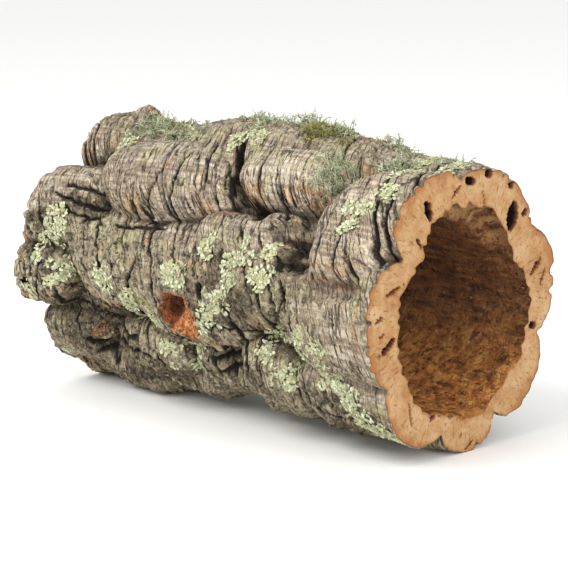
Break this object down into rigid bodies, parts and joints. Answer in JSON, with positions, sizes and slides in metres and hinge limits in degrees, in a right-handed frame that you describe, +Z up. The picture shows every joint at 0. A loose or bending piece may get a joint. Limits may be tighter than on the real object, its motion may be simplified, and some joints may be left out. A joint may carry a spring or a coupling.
{
  "type": "cork bark tube",
  "caption": "Hollow tube of virgin cork bark with swollen ridged lobes, a knot hole, sawn ends and patches of lichen.",
  "frame": {"origin": "middle of the underside: the resting plane is z = 0, with x and y at the centre of the overall box", "axes": "+X along the tube towards its near sawn end, +Z up, -Y is the front with the knot hole"},
  "size_m": [0.3, 0.1681, 0.1854],
  "materials": {
    "cork_bark": "matt, cracked and weathered",
    "leaf_lichen": "matt, powdery",
    "shrub_lichen": "matt, fibrous"
  },
  "bodies": {
    "root": {"cork_tube": "cork_bark", "leaf_lichen_far_shoulder": "leaf_lichen", "leaf_lichen_far_front": "leaf_lichen", "leaf_lichen_front_a": "leaf_lichen", "leaf_lichen_front_b": "leaf_lichen", "leaf_lichen_above_hole": "leaf_lichen", "leaf_lichen_left_of_hole": "leaf_lichen", "leaf_lichen_below_hole": "leaf_lichen", "leaf_lichen_low_front": "leaf_lichen", "leaf_lichen_right_of_hole": "leaf_lichen", "leaf_lichen_mid_a": "leaf_lichen", "leaf_lichen_mid_b": "leaf_lichen", "leaf_lichen_knob": "leaf_lichen", "leaf_lichen_near_a": "leaf_lichen", "leaf_lichen_near_b": "leaf_lichen", "leaf_lichen_near_c": "leaf_lichen", "leaf_lichen_near_d": "leaf_lichen", "leaf_lichen_near_upper": "leaf_lichen", "leaf_lichen_back_a": "leaf_lichen", "leaf_lichen_back_b": "leaf_lichen", "shrub_lichen_far_crown": "shrub_lichen", "shrub_lichen_mid_crown": "shrub_lichen", "shrub_lichen_crest": "shrub_lichen", "shrub_lichen_near_crown": "shrub_lichen", "shrub_lichen_upper": "shrub_lichen", "shrub_lichen_shoulder": "shrub_lichen"}
  },
  "joints": []
}
